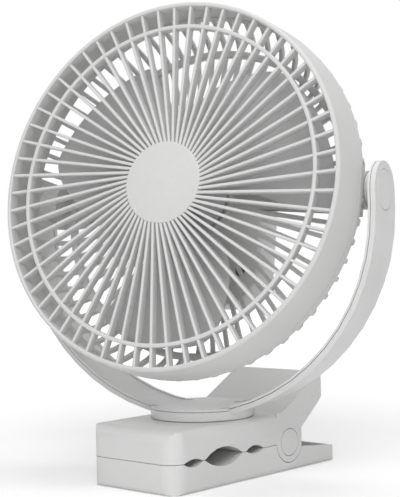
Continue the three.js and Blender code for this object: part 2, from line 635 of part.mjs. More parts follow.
// Section of the rear bowl as [radius, y], outside then inside.
const BOWL_OUTSIDE = [
  [101.9, -14.9], [101.9, -9.4], [98.4, -1], [94.6, 5.4], [90.5, 9.6], [85, 11.6], [33, 12.8],
];
const BOWL_INSIDE = [
  [33, 10.2], [83, 9.5], [88, 8], [91.6, 4.6], [95.6, -2], [99.3, -10], [99.5, -14.9],
];
const REAR_RIB_PHASE = 1.5 * DEG;
const HEAD_BOSS_ROOT = 88;
const HEAD_BOSS_END = ARM_BOSS_X - 1.1 - GAP;

// A slice of the bowl, swollen at both faces where it has to swallow the ribs.
function bowlSlice(width, swell = 0) {
  const outside = BOWL_OUTSIDE.map(([r, y]) => [r, y + swell]);
  const inside = BOWL_INSIDE.map(([r, y]) => [r, y - swell]);
  return pushed('z', outline([...outside, ...inside]), -width / 2, width / 2);
}

const POD_CORNER_STEPS = 5;

// The pod's outline in X and Z, drawn in by an inset.
function podPoints(inset) {
  const r = POD.corner - inset;
  const x = POD.halfWidth - POD.corner;
  const corners = [
    [x, POD.bottom + POD.corner, -90], [x, POD.top - POD.corner, 0],
    [-x, POD.top - POD.corner, 90], [-x, POD.bottom + POD.corner, 180],
  ];
  return corners.flatMap(([u, v, start]) => Array.from({ length: POD_CORNER_STEPS + 1 }, (_, i) => {
    const angle = (start + 90 * i / POD_CORNER_STEPS) * DEG;
    return [u + r * Math.cos(angle), v + r * Math.sin(angle)];
  }));
}

const podOutline = (inset) => outline(podPoints(inset));

const POD_FACE_Y = depthToY(POD.face);
const POD_BACK_Y = depthToY(POD.back);
const SCREW_SEAT_Y = POD_FACE_Y + 8;

function buildRearGrille() {
  const slice = bowlSlice(REAR_RIB_WIDTH);
  const ribs = radialCopies(RIB_COUNT, REAR_RIB_PHASE, (angle) => slice.rotate([0, -angle / DEG, 0]))
    .filter((_, i) => i % (RIB_COUNT / 2) !== 0);
  const underPlate = pushed('y', podOutline(1.2), FRONT_Y, POD_BACK_Y);
  const rim = turned([
    [99.2, -16.4], [101.9, -16.4], [101.9, -12], [101.3, -11.2], [99.2, -11.2],
  ], RIB_COUNT, REAR_RIB_PHASE);
  const midRing = turned([
    [REAR_MID_RING.inner, 7.4], [REAR_MID_RING.outer, 7],
    [REAR_MID_RING.outer, 10.4], [REAR_MID_RING.inner, 11.2],
  ], RIB_COUNT, REAR_RIB_PHASE);

  // Tapered struts run from the pod to the tilt bosses.
  const strutPlan = outline([[30, -5], [72, -6], [99, -14], [99, 14], [72, 6], [30, 5]]);
  const strut = bowlSlice(30, 0.25).intersect(pushed('y', strutPlan, -30, 30));
  const struts = [strut, strut.rotate([0, 180, 0])];
  const bossTop = (sign) => {
    const [x0, x1] = ordered(sign * HEAD_BOSS_ROOT, sign * HEAD_BOSS_END);
    return rod('x', ARM_BOSS_R, x0, x1, [0, 0], 24);
  };

  const plate = pushed('y', podOutline(0), POD_FACE_Y, POD_FACE_Y + POD_PLATE);
  const socket = rod('y', MOTOR_R + 2.4, POD_FACE_Y - 5, POD_FACE_Y + 1, [0, 0], 28);
  const tubes = POD_SCREWS.map((at) => rod('y', 4.4, POD_FACE_Y + 1, SCREW_SEAT_Y + 1.6, at, 12));
  const recesses = POD_SCREWS.map((at) => rod('y', 2.5, POD_FACE_Y - 2, SCREW_SEAT_Y, at, 12));
  const screwHoles = POD_SCREWS.map((at) => rod('y', 1.5, POD_FACE_Y, SCREW_SEAT_Y + 5, at, 8));
  return cut(join([
    wasm.Manifold.union(ribs).subtract(underPlate), rim, midRing, ...struts, bossTop(1), bossTop(-1),
    plate, socket, ...tubes,
  ]), [
    rod('y', MOTOR_R + 0.3, POD_FACE_Y - 10, POD_FACE_Y, [0, 0], 28),
    rod('x', 2.6, PIVOT_SCREW_TIP - 1, 110, [0, 0], 10),
    rod('x', 2.6, -110, -PIVOT_SCREW_TIP + 1, [0, 0], 10),
    ...recesses, ...screwHoles,
  ]);
}

piece(head, 'rear_grille', buildRearGrille(), SHELL);

// ---- Head: pod --------------------------------------------------------------------------------------

const COVER_FRONT_Y = POD_FACE_Y + POD_PLATE + GAP;
const BACK_EDGE_R = 7;
const BACK_EDGE_STEPS = 3;

// The pod's body with a rounded back edge.
function podShell(inset, front, back) {
  const levels = [[inset, front], [inset, back - BACK_EDGE_R]];
  for (let i = 1; i <= BACK_EDGE_STEPS; i++) {
    const angle = (i / BACK_EDGE_STEPS) * Math.PI / 2;
    levels.push([inset + BACK_EDGE_R * (1 - Math.cos(angle)), back - BACK_EDGE_R * (1 - Math.sin(angle))]);
  }
  return lofted(levels.map(([shrink, y]) => podPoints(shrink).map(([x, z]) => [x, y, z])));
}

// A closed solid through rings of equally many points.
function lofted(rings) {
  const n = rings[0].length;
  const last = (rings.length - 1) * n;
  const index = [];
  for (let k = 0; k < last; k += n) {
    for (let i = 0; i < n; i++) {
      const j = (i + 1) % n;
      index.push(k + i, k + n + i, k + j, k + j, k + n + i, k + n + j);
    }
  }
  for (let i = 1; i < n - 1; i++) {
    index.push(0, i, i + 1, last, last + i + 1, last + i);
  }
  const geometry = new THREE.BufferGeometry();
  geometry.setAttribute('position', new THREE.Float32BufferAttribute(rings.flat(2), 3));
  geometry.setIndex(index);
  return solid(geometry);
}

function buildRearCover() {
  const shell = podShell(0, COVER_FRONT_Y, POD_BACK_Y)
    .subtract(podShell(POD.wall, COVER_FRONT_Y - 5, POD_BACK_Y - POD.wall));
  const pillars = POD_SCREWS.map((at) =>
    rod('y', 4, SCREW_SEAT_Y + 1.6 + GAP, POD_BACK_Y - POD.wall + 0.5, at, 12));
  const pilots = POD_SCREWS.map((at) =>
    rod('y', 1.4, SCREW_SEAT_Y, SCREW_SEAT_Y + 12, at, 10));
  const slotY = BOARD_BACK_Y + GAP + USB.height / 2;
  const slot = block([POD.halfWidth - 4, POD.halfWidth + 2],
    [slotY - USB.height / 2 - 0.4, slotY + USB.height / 2 + 0.4],
    [USB.z - USB.width / 2 - 0.4, USB.z + USB.width / 2 + 0.4]);
  const lensHoles = LENS_XS.map((x) => rod('y', 1.7, POD_BACK_Y - 5, POD_BACK_Y + 1, [x, LENS_Z], 12));
  const buttonHole = rod('y', BUTTON.radius + 0.3, POD_BACK_Y - 5, POD_BACK_Y + 1,
    [BUTTON.x, BUTTON.z], 28);
  return cut(join([shell, ...pillars]), [...pilots, slot, ...lensHoles, buttonHole]);
}

const BOARD_THICKNESS = 1.6;
const BOARD_BACK_Y = 29.6;
const BOARD_X = [-30, POD.halfWidth - 4.1];
const BOARD_Z = [14.8, 34.2];
const INNER_BACK_Y = POD_BACK_Y - POD.wall;

piece(head, 'rear_cover', buildRearCover(), SHELL);
POD_SCREWS.forEach((at, i) => {
  piece(head, `cover_screw_${i + 1}`, join([
    rod('y', 2.3, SCREW_SEAT_Y - 2.1, SCREW_SEAT_Y - GAP, at, 12),
    rod('y', 1.2, SCREW_SEAT_Y - 1, SCREW_SEAT_Y + 9, at, 8),
  ]), STEEL);
});

['left', 'right'].forEach((side, i) => {
  const x = (i ? 1 : -1) * CELL.x;
  const y = POD_FACE_Y + POD_PLATE + GAP + CELL.radius;
  piece(head, `battery_cell_${side}`,
    rod('z', CELL.radius, CELL.bottom, CELL.bottom + CELL.length, [x, y], 24), CELL_WRAP);
});
const HOLDER_Y = POD_FACE_Y + POD_PLATE + 2 * GAP + 2 * CELL.radius;
const HOLDER_X = [-CELL.x - CELL.radius - 0.6, CELL.x + CELL.radius + 0.6];
const CELL_TOP = CELL.bottom + CELL.length;
piece(head, 'battery_holder', join([
  block(HOLDER_X, [HOLDER_Y, HOLDER_Y + 1.2], [CELL.bottom, CELL_TOP + 1.4]),
  block(HOLDER_X, [HOLDER_Y - 8, HOLDER_Y + 0.5], [CELL_TOP + GAP, CELL_TOP + 1.4]),
]), NYLON);
piece(head, 'circuit_board',
  block(BOARD_X, [BOARD_BACK_Y - BOARD_THICKNESS, BOARD_BACK_Y], BOARD_Z), BOARD);
piece(head, 'tact_switch', block([BUTTON.x - 3, BUTTON.x + 3],
  [BOARD_BACK_Y + GAP, BOARD_BACK_Y + 1.9], [BUTTON.z - 3, BUTTON.z + 3]), DARK);
const usbY = [BOARD_BACK_Y + GAP, BOARD_BACK_Y + GAP + USB.height];
const usbX = [POD.halfWidth - 1 - USB.length, POD.halfWidth - 1];
const usbZ = [USB.z - USB.width / 2, USB.z + USB.width / 2];
const usbWall = 0.4;
piece(head, 'usb_port', block(usbX, usbY, usbZ).subtract(block(
  [usbX[0] + usbWall, usbX[1] + 1], [usbY[0] + usbWall, usbY[1] - usbWall],
  [usbZ[0] + usbWall, usbZ[1] - usbWall],
)), STEEL);
LENS_XS.forEach((x, i) => {
  piece(head, `status_lens_${i + 1}`,
    rod('y', 1.4, INNER_BACK_Y - 1, POD_BACK_Y + 0.1, [x, LENS_Z], 12), LENS);
});
piece(head, 'power_button', join([
  rod('y', BUTTON.radius, INNER_BACK_Y - 1, POD_BACK_Y + 1.2, [BUTTON.x, BUTTON.z], 28),
  rod('y', BUTTON.radius + 1.6, INNER_BACK_Y - 1.6, INNER_BACK_Y - GAP, [BUTTON.x, BUTTON.z], 20),
  rod('y', 1.5, BOARD_BACK_Y + 1.9 + BUTTON.travel + GAP, INNER_BACK_Y - 1, [BUTTON.x, BUTTON.z], 10),
]), SHELL);

// ---- Head: motor and blades -------------------------------------------------------------------------

const MOTOR_FRONT_Y = depthToY(22);
const MOTOR_BACK_Y = POD_FACE_Y - GAP;
const BEARING = { radius: 4.9, length: 3.6 };
piece(head, 'motor_housing', cut(rod('y', MOTOR_R, MOTOR_FRONT_Y, MOTOR_BACK_Y, [0, 0], 28), [
  rod('y', 3, MOTOR_FRONT_Y - 1, MOTOR_BACK_Y + 1, [0, 0], 12),
  rod('y', BEARING.radius + 0.1, MOTOR_FRONT_Y - 1, MOTOR_FRONT_Y + BEARING.length + 0.2, [0, 0], 20),
  rod('y', BEARING.radius + 0.1, MOTOR_BACK_Y - BEARING.length - 0.2, MOTOR_BACK_Y + 1, [0, 0], 20),
]), DARK);
const bearing = (y0, y1) => rod('y', BEARING.radius, y0, y1, [0, 0], 20)
  .subtract(rod('y', SHAFT_R + 0.1, -50, 50, [0, 0], 16));
piece(head, 'motor_bearing_front', bearing(MOTOR_FRONT_Y, MOTOR_FRONT_Y + BEARING.length), BRONZE);
piece(head, 'motor_bearing_rear', bearing(MOTOR_BACK_Y - BEARING.length, MOTOR_BACK_Y), BRONZE);

const FAN_HUB_FRONT_Y = depthToY(10.5);
const FAN_HUB_BACK_Y = depthToY(37.5);
piece(head, 'motor_shaft', rod('y', SHAFT_R, FAN_HUB_FRONT_Y + 2.5, MOTOR_BACK_Y - 0.2, [0, 0], 16), STEEL);

// Blade outline: the angle of the front and rear edges at each radius, in degrees from its middle.
const BLADE_ROWS = [
  [17, 50, -26], [34, 48.5, -30], [50, 43.5, -35], [57, 39.5, -37], [64, 34, -38],
  [70, 29, -38.5], [75.5, 25, -38.5], [80, 21, -38], [83.2, 17.5, -37], [BLADE_R, 13, -35.5],
];
const BLADE_FRONT_DEPTH = 12;
const BLADE_PITCH = 0.28;              // depth gained per degree
const BLADE_COLUMNS = 5;
const bladeY = (angle) => depthToY(BLADE_FRONT_DEPTH + BLADE_PITCH * (44 - angle));

function buildBlade() {
  const positions = [];
  const rows = BLADE_ROWS.length;
  const columns = BLADE_COLUMNS + 1;
  for (const back of [0, 1]) {
    for (const [radius, frontEdge, rearEdge] of BLADE_ROWS) {
      for (let j = 0; j < columns; j++) {
        const angle = THREE.MathUtils.lerp(frontEdge, rearEdge, j / BLADE_COLUMNS);
        const y = bladeY(angle) + back * BLADE_THICKNESS;
        positions.push(radius * Math.cos(angle * DEG), y, radius * Math.sin(angle * DEG));
      }
    }
  }
  const index = [];
  const quad = (a, b, c, d) => index.push(a, b, c, a, c, d);
  const layer = rows * columns;
  for (let i = 0; i < rows - 1; i++) {
    for (let j = 0; j < BLADE_COLUMNS; j++) {
      const a = i * columns + j;
      quad(a, a + 1, a + columns + 1, a + columns);
      quad(layer + a, layer + a + columns, layer + a + columns + 1, layer + a + 1);
    }
  }
  const rim = [];
  for (let j = 0; j < columns; j++) rim.push(j);
  for (let i = 1; i < rows; i++) rim.push(i * columns + BLADE_COLUMNS);
  for (let j = BLADE_COLUMNS - 1; j >= 0; j--) rim.push((rows - 1) * columns + j);
  for (let i = rows - 2; i > 0; i--) rim.push(i * columns);
  for (let k = 0; k < rim.length; k++) {
    const [a, b] = [rim[k], rim[(k + 1) % rim.length]];
    quad(a, layer + a, layer + b, b);
  }
  const geometry = new THREE.BufferGeometry();
  geometry.setAttribute('position', new THREE.Float32BufferAttribute(positions, 3));
  geometry.setIndex(index);
  return solid(geometry);
}

function buildPropeller() {
  const blade = buildBlade();
  const blades = radialCopies(BLADE_COUNT, 30 * DEG, (angle) => blade.rotate([0, -angle / DEG, 0]));
  const cup = turnedSolid([
    [0, FAN_HUB_FRONT_Y], [FAN_HUB_R - 5, FAN_HUB_FRONT_Y + 0.6], [FAN_HUB_R - 1.2, FAN_HUB_FRONT_Y + 2.6],
    [FAN_HUB_R, FAN_HUB_FRONT_Y + 6], [FAN_HUB_R, FAN_HUB_BACK_Y], [FAN_HUB_R - 2, FAN_HUB_BACK_Y],
    [FAN_HUB_R - 2, FAN_HUB_FRONT_Y + 5], [4.5, FAN_HUB_FRONT_Y + 5], [4.5, MOTOR_FRONT_Y - 1],
    [0, MOTOR_FRONT_Y - 1],
  ], 36);
  const inside = rod('y', FAN_HUB_R - 2.05, FAN_HUB_FRONT_Y + 5, FAN_HUB_BACK_Y + 1, [0, 0], 36);
  const clear = inside.subtract(rod('y', 4.5, -60, 60, [0, 0], 36));
  const bore = rod('y', SHAFT_R + 0.05, FAN_HUB_FRONT_Y + 2.3, 0, [0, 0], 16);
  return cut(join([cup, ...blades.map((b) => b.subtract(clear))]), [bore]);
}

piece(head, 'propeller', buildPropeller(), BLADE);

export default fan;
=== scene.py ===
# %% [markdown]
# # A clip fan in pale moulded plastic
#
# The CAD model gives every piece its size and place. This script leaves those solids where they are
# and makes the looks: soft moulded edges, ribs with rounded fronts, plastics with a fine grain, and a
# small photo studio around them. Everything is in metres, in the CAD model's own frame: +Z is up, the
# jaw tips point along -Y, and the clip stands on Z = 0. Outlines are written in millimetres, as on a
# maker's drawing, and become metres where their corners are made.

# %% Load the fixed frame
import json
import math

import bmesh
import bpy
from mathutils import Matrix, Vector


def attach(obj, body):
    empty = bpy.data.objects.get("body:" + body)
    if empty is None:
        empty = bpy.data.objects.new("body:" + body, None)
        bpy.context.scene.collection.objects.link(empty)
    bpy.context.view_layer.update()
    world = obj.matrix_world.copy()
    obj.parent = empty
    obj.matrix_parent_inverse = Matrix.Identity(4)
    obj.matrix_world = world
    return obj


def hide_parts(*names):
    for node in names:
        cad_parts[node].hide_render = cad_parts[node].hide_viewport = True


MM = 0.001
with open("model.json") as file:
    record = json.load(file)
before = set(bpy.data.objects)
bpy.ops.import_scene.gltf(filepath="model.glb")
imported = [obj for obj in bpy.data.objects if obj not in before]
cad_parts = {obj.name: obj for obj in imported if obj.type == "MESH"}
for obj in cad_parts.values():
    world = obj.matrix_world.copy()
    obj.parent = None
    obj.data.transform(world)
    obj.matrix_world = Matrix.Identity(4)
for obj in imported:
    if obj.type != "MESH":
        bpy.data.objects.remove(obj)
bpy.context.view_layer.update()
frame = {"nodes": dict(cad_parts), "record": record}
nodes = frame["nodes"]
scene = bpy.context.scene

# %% [markdown]
# ## Camera
#
# The view was worked out from the photograph's own geometry: the circles of the guard, the clip's
# edges and the yoke's outline fix one long lens, slightly below the middle of the head, turned to the
# fan's right. The picture was cropped off its optical axis, so the camera has a small shift, and it
# was held a degree and a half off level. A constraint could aim the camera, but it would hold it
# level, so its three directions are worked out here and written into one matrix.

# %% Place the camera
CAMERA_AT = Vector((0.4531, -0.4937, 0.1226))
LOOKS_AT = Vector((-0.0013, -0.0015, 0.1365))
ROLL = math.radians(-1.51)
PICTURE_HEIGHT_PX = 497
FOCAL_PX = 1209.9
SHIFT_X_PX, SHIFT_Y_PX = 5.96, -21.05
NEAREST_SEEN = 0.01

forward = (LOOKS_AT - CAMERA_AT).normalized()
level = forward.cross(Vector((0, 0, 1))).normalized()
upright = level.cross(forward)
right = level * math.cos(ROLL) + upright * math.sin(ROLL)
up = upright * math.cos(ROLL) - level * math.sin(ROLL)

camera_data = bpy.data.cameras.new("view")
camera_data.lens = FOCAL_PX / PICTURE_HEIGHT_PX * camera_data.sensor_width
camera_data.shift_x = SHIFT_X_PX / PICTURE_HEIGHT_PX
camera_data.shift_y = SHIFT_Y_PX / PICTURE_HEIGHT_PX
camera_data.clip_start = NEAREST_SEEN
camera = bpy.data.objects.new("view", camera_data)
scene.collection.objects.link(camera)
turned = Matrix((right, up, -forward)).transposed().to_4x4()
camera.matrix_world = Matrix.Translation(CAMERA_AT) @ turned
scene.camera = camera
print("lens", round(camera_data.lens, 1), "mm")

# %% [markdown]
# ## Node helpers
#
# A material is a graph of nodes. It could be wired up line by line, but then the wiring hides what the
# graph means. These helpers keep the graphs short to write: one makes a node and fills its sockets,
# two do sums and ranges, one mixes colours, and two make and use a group that materials share.

# %% Short ways to write node graphs


def fill_sockets(tree, node, inputs):
    """Links a node's inputs to other nodes, or sets them to plain values."""
    for socket, value in inputs.items():
        if isinstance(value, bpy.types.NodeSocket):
            tree.links.new(value, node.inputs[socket])
        else:
            node.inputs[socket].default_value = value


def add_node(tree, kind, inputs=None, **settings):
    """A node of that kind. Settings name its properties, and inputs fill its sockets."""
    node = tree.nodes.new(kind)
    for key, value in settings.items():
        setattr(node, key, value)
    fill_sockets(tree, node, inputs or {})
    return node


def math_node(tree, operation, a, b):
    """One sum, product or other operation on two values."""
    return add_node(tree, "ShaderNodeMath", {0: a, 1: b}, operation=operation).outputs[0]


def ramp(tree, value, low, high, to_low=0.0, to_high=1.0):
    """A value stretched from one range to another and held inside it."""
    ranges = {"From Min": low, "From Max": high, "To Min": to_low, "To Max": to_high}
    return add_node(tree, "ShaderNodeMapRange", {"Value": value, **ranges}).outputs["Result"]


def mix_colours(tree, factor, a, b):
    """A colour between two others."""
    node = tree.nodes.new("ShaderNodeMix")
    node.data_type = "RGBA"
    tree.links.new(factor, node.inputs["Factor"])
    for socket, value in (("A", a), ("B", b)):
        target = [s for s in node.inputs if s.name == socket and s.type == "RGBA"][0]
        if isinstance(value, bpy.types.NodeSocket):
            tree.links.new(value, target)
        else:
            target.default_value = (*value, 1.0)
    return [s for s in node.outputs if s.type == "RGBA"][0]


print("node helpers ready")

# %% Ways to make and use a shared group
FLOAT = "NodeSocketFloat"


def new_group(name, inputs, outputs):
    """An empty node group whose inputs have default values, with its two end nodes."""
    group = bpy.data.node_groups.new(name, "ShaderNodeTree")
    for socket, default in inputs.items():
        made = group.interface.new_socket(socket, in_out="INPUT", socket_type=FLOAT)
        made.default_value = default
    for socket in outputs:
        group.interface.new_socket(socket, in_out="OUTPUT", socket_type=FLOAT)
    return group, group.nodes.new("NodeGroupInput"), group.nodes.new("NodeGroupOutput")


def use_group(tree, group, inputs):
    """A node that runs a shared group inside a material."""
    return add_node(tree, "ShaderNodeGroup", inputs, node_tree=group)


print("group helpers ready")

# %% [markdown]
# ## Effects that several materials share
#
# A spark-eroded mould leaves a fine grain in plastic, with a slow waviness below it. It could be a
# picture of grain wrapped round the part, but noise in the object's own space needs no unwrapping and
# has no seams. The group puts out a height for a bump.

# %% Moulded grain
MM_PER_METRE = 1000.0

grain, grain_in, grain_out = new_group("moulded_grain", {"Size mm": 0.35, "Waviness": 0.25}, ["Height"])
place = add_node(grain, "ShaderNodeTexCoord").outputs["Object"]
grains_per_metre = math_node(grain, "DIVIDE", MM_PER_METRE, grain_in.outputs["Size mm"])
fine = add_node(
    grain, "ShaderNodeTexNoise",
    {"Vector": place, "Scale": grains_per_metre, "Detail": 3.0, "Roughness": 0.65},
)
slow = add_node(grain, "ShaderNodeTexNoise", {"Vector": place, "Scale": 95.0, "Detail": 1.0})
wave = math_node(grain, "MULTIPLY", slow.outputs["Fac"], grain_in.outputs["Waviness"])
grain.links.new(math_node(grain, "ADD", fine.outputs["Fac"], wave), grain_out.inputs["Height"])
print(grain.name, "has", len(grain.nodes), "nodes")

# %% [markdown]
# ### Use
#
# Hands and air leave a plastic surface a little duller in patches, and rub its edges smooth. Both could
# be painted by hand. Here noise makes the patches, and Pointiness, which is high on convex edges, finds
# the edges by itself, so that every piece gets them in the right places.

# %% Signs of use
use, use_in, use_out = new_group("use", {"Patch size mm": 45.0}, ["Dullness", "Rubbed edge"])
place = add_node(use, "ShaderNodeTexCoord").outputs["Object"]
patches_per_metre = math_node(use, "DIVIDE", MM_PER_METRE, use_in.outputs["Patch size mm"])
patches = add_node(
    use, "ShaderNodeTexNoise",
    {"Vector": place, "Scale": patches_per_metre, "Detail": 5.0, "Roughness": 0.6},
)
use.links.new(ramp(use, patches.outputs["Fac"], 0.38, 0.66), use_out.inputs["Dullness"])

pointed = add_node(use, "ShaderNodeNewGeometry").outputs["Pointiness"]
edge = ramp(use, pointed, 0.515, 0.57)
broken = add_node(use, "ShaderNodeTexNoise", {"Vector": place, "Scale": 420.0, "Detail": 3.0})
broken_up = ramp(use, broken.outputs["Fac"], 0.35, 0.6, 0.35, 1.0)
use.links.new(math_node(use, "MULTIPLY", edge, broken_up), use_out.inputs["Rubbed edge"])
print(use.name, "has", len(use.nodes), "nodes")

# %% [markdown]
# ### Recess: dust and painted shade
#
# Dust settles in narrow corners and less light reaches them. An Ambient Occlusion node measures just
# that, and one minus its result is a mask for the corners. The materials darken their colour by it, so
# it paints dust and shade together.

# %% Recess: dust and painted shade
corner_dust_and_shade, dust_shade_in, dust_shade_out = new_group("corner_dust_and_shade", {"Reach": 0.004}, ["Depth"])
reach = dust_shade_in.outputs["Reach"]
openness = add_node(corner_dust_and_shade, "ShaderNodeAmbientOcclusion", {"Distance": reach}, samples=4).outputs["AO"]
# One minus AO marks the corners to darken: partly dust, partly painted shade.
corner_dust_and_shade.links.new(math_node(corner_dust_and_shade, "SUBTRACT", 1.0, openness), dust_shade_out.inputs["Depth"])
print([group.name for group in bpy.data.node_groups])

# %% [markdown]
# ## Materials
#
# The fan is almost all one pale plastic, with soft pads, a few metals and the coloured wraps inside.
# Each could have its own graph, but one recipe keeps them alike: a base colour that drifts by a percent
# or two, corners darkened partly by dust and partly by painted shade, a slightly polished tone on rubbed
# edges, and a bump from the grain.
# What is the same all over sits on the shader's own sockets, so that the export keeps it.

# %% The recipe for plastics and rubbers
PATCH_MM = 45.0
CORNER_REACH = 0.005
DUST_AND_SHADE_TINT = (0.74, 0.735, 0.72)
RUBBED_GAIN, PALEST, RUBBED_SHARE = 1.045, 0.93, 0.6
SHINIER, DULLER, POLISH = 0.04, 0.06, 0.1
GRAIN_DEPTH = 0.0003


def new_material(name):
    """A material with its node tree and its shader."""
    material = bpy.data.materials.new(name)
    material.use_nodes = True
    return material, material.node_tree, material.node_tree.nodes["Principled BSDF"]


def moulded(name, colour, roughness, grain_mm=0.35, bump=0.04, dust_and_shade=0.16, drift=0.035):
    """A moulded plastic or rubber with grain, drifting colour, dust and painted shade in corners, and
    rubbed edges.
    """
    material, tree, shader = new_material(name)
    wear = use_group(tree, use, {"Patch size mm": PATCH_MM})
    dull, rub = wear.outputs["Dullness"], wear.outputs["Rubbed edge"]
    dust_and_shade_mask = use_group(tree, corner_dust_and_shade, {"Reach": CORNER_REACH}).outputs["Depth"]
    darker = tuple(c * (1 - drift) for c in colour)
    dust_and_shade_colour = tuple(c * tint for c, tint in zip(colour, DUST_AND_SHADE_TINT))
    rubbed = tuple(min(c * RUBBED_GAIN, PALEST) for c in colour)
    shown = mix_colours(tree, dull, colour, darker)
    # Corners take a darker colour: partly dust, partly painted shade.
    shown = mix_colours(tree, math_node(tree, "MULTIPLY", dust_and_shade_mask, dust_and_shade), shown, dust_and_shade_colour)
    shown = mix_colours(tree, math_node(tree, "MULTIPLY", rub, RUBBED_SHARE), shown, rubbed)
    tree.links.new(shown, shader.inputs["Base Color"])
    rough = ramp(tree, dull, 0.0, 1.0, roughness - SHINIER, roughness + DULLER)
    rough = math_node(tree, "SUBTRACT", rough, math_node(tree, "MULTIPLY", rub, POLISH))
    tree.links.new(rough, shader.inputs["Roughness"])
    height = use_group(tree, grain, {"Size mm": grain_mm}).outputs["Height"]
    relief = {"Height": height, "Strength": bump, "Distance": GRAIN_DEPTH}
    tree.links.new(add_node(tree, "ShaderNodeBump", relief).outputs["Normal"], shader.inputs["Normal"])
    return material


print("plastic recipe ready")

# %% [markdown]
# ### Metals
#
# The pins, screws, spring and bearings are drawn or turned metal with a very fine uneven grain. Full
# metallic with one noise does for them: the same noise varies the tone, the roughness and the bump, as
# fine scratches do on the real pieces.

# %% The recipe for metals
SCRATCHES_PER_METRE = 900.0
SCRATCH_TONE, SCRATCH_BUMP, SCRATCH_DEPTH = 0.88, 0.1, 0.0002


def metal(name, colour, roughness):
    """A metal with a fine grain in its tone, roughness and bump."""
    material, tree, shader = new_material(name)
    place = add_node(tree, "ShaderNodeTexCoord").outputs["Object"]
    fine_noise = {"Vector": place, "Scale": SCRATCHES_PER_METRE, "Detail": 4.0}
    scratches = add_node(tree, "ShaderNodeTexNoise", fine_noise).outputs["Fac"]
    darker = tuple(c * SCRATCH_TONE for c in colour)
    tree.links.new(mix_colours(tree, scratches, darker, colour), shader.inputs["Base Color"])
    rough = ramp(tree, scratches, 0.2, 0.8, roughness - 0.08, roughness + 0.12)
    tree.links.new(rough, shader.inputs["Roughness"])
    relief = {"Height": scratches, "Strength": SCRATCH_BUMP, "Distance": SCRATCH_DEPTH}
    tree.links.new(add_node(tree, "ShaderNodeBump", relief).outputs["Normal"], shader.inputs["Normal"])
    shader.inputs["Metallic"].default_value = 1.0
    return material


print("metal recipe ready")

# %% [markdown]
# ### The fan's own finishes
#
# The blades are the darkest plastic and the ribs a little darker than the shell; both greys are lowered
# as painted shade for the dim inside of the head. The gripping pads are the most matt. Every CAD node is
# painted by its slot in the record, and the guard and the grille get the ribs' plastic when they are
# built below.

# %% The fan's materials
# The ribs' grey is the shell's, lowered a little as painted shade for the dim inside of the head.
SHADE_DARKENED_RIBS = moulded("rib_plastic_darkened_for_shade", (0.72, 0.72, 0.715), 0.45, bump=0.02, dust_and_shade=0.3)
LOOKS = {
    "shell": moulded("shell_plastic", (0.765, 0.765, 0.76), 0.42),
    # The blades' grey is also lowered as painted shade for the inside of the head.
    "blade": moulded("blade_plastic_darkened_for_shade", (0.56, 0.56, 0.56), 0.38, bump=0.02, dust_and_shade=0.35, drift=0.06),
    # The pads' grey is raised as painted light, for the light that reaches into the clip's eye.
    "soft": moulded("grip_pad_with_painted_light", (0.66, 0.66, 0.655), 0.72, grain_mm=0.6, bump=0.15),
    "foot": moulded("foot_rubber", (0.28, 0.285, 0.29), 0.8, grain_mm=0.5, bump=0.2),
    "nylon": moulded("nylon", (0.8, 0.79, 0.75), 0.5),
    "board": moulded("board_mask", (0.03, 0.15, 0.06), 0.35, grain_mm=0.8),
    "cell": moulded("cell_wrap", (0.07, 0.27, 0.56), 0.3, grain_mm=2.0),
    "dark": moulded("dark_enamel", (0.025, 0.026, 0.028), 0.4),
    "lens": moulded("lens", (0.88, 0.9, 0.92), 0.15, bump=0.01, dust_and_shade=0.1),
    "steel": metal("steel", (0.56, 0.57, 0.58), 0.3),
    "bronze": metal("bronze", (0.55, 0.36, 0.16), 0.35),
}
slot_of = {part["node"]: part["material_slot"] for part in frame["record"]["subparts"]}
for name, node in nodes.items():
    node.data.materials.clear()
    node.data.materials.append(LOOKS[slot_of[name]])
print(len(nodes), "nodes painted")

# %% [markdown]
# ## Forms
#
# The CAD solids have hard edges. A moulded part has none: its edges are rounded by a few tenths of a
# millimetre, and it's that thin line of light which makes it read as plastic. Every piece made here
# goes into the scene by one function, which gives it the look, body and slot of the node it replaces.

# %% Turn a mesh into a piece
bodies = frame["record"]["behaviour"]["bodies"]
body_of = {name: body for body, names in bodies.items() for name in names}


def finish_piece(mesh, name, node, material=None, smooth_angle=40.0):
    """Puts a mesh in the scene in place of a CAD node, riding on the same body."""
    mesh.materials.clear()
    mesh.materials.append(material or LOOKS[slot_of[node]])
    mesh.shade_smooth()
    mesh.set_sharp_from_angle(angle=math.radians(smooth_angle))
    piece = bpy.data.objects.new(name, mesh)
    scene.collection.objects.link(piece)
    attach(piece, body_of[node])
    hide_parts(node)
    return piece


print(len(bodies), "bodies:", ", ".join(bodies))

# %% [markdown]
# ### Moulded edges
#
# The jaws, yoke, caps and pads are plain mouldings. They could be drawn again, but their solids already
# have the right shape, so each is copied, its triangles joined into flat faces, and its edges rounded
# by a Bevel modifier. The spring's wire is round already and only gets smooth shading.

# %% Round the edges of the plain mouldings
SHARP_ANGLE = 32.0
FLAT_ANGLE = 0.6
SAME_PLACE = 2e-6
EDGE_WIDTHS_MM = {
    "lower_jaw": 0.5, "upper_jaw": 0.5, "yoke_shell": 0.4, "yoke_cover": 0.3, "rear_cover": 0.3,
    "power_button": 0.5, "pin_cap_left": 0.35, "pin_cap_right": 0.35, "pivot_cap_left": 0.4,
    "pivot_cap_right": 0.4, "lower_grip": 0.3, "upper_grip": 0.3, "foot_pad_front": 0.4,
    "foot_pad_rear": 0.4, "clip_spring": 0.0, "usb_port": 0.15,
}


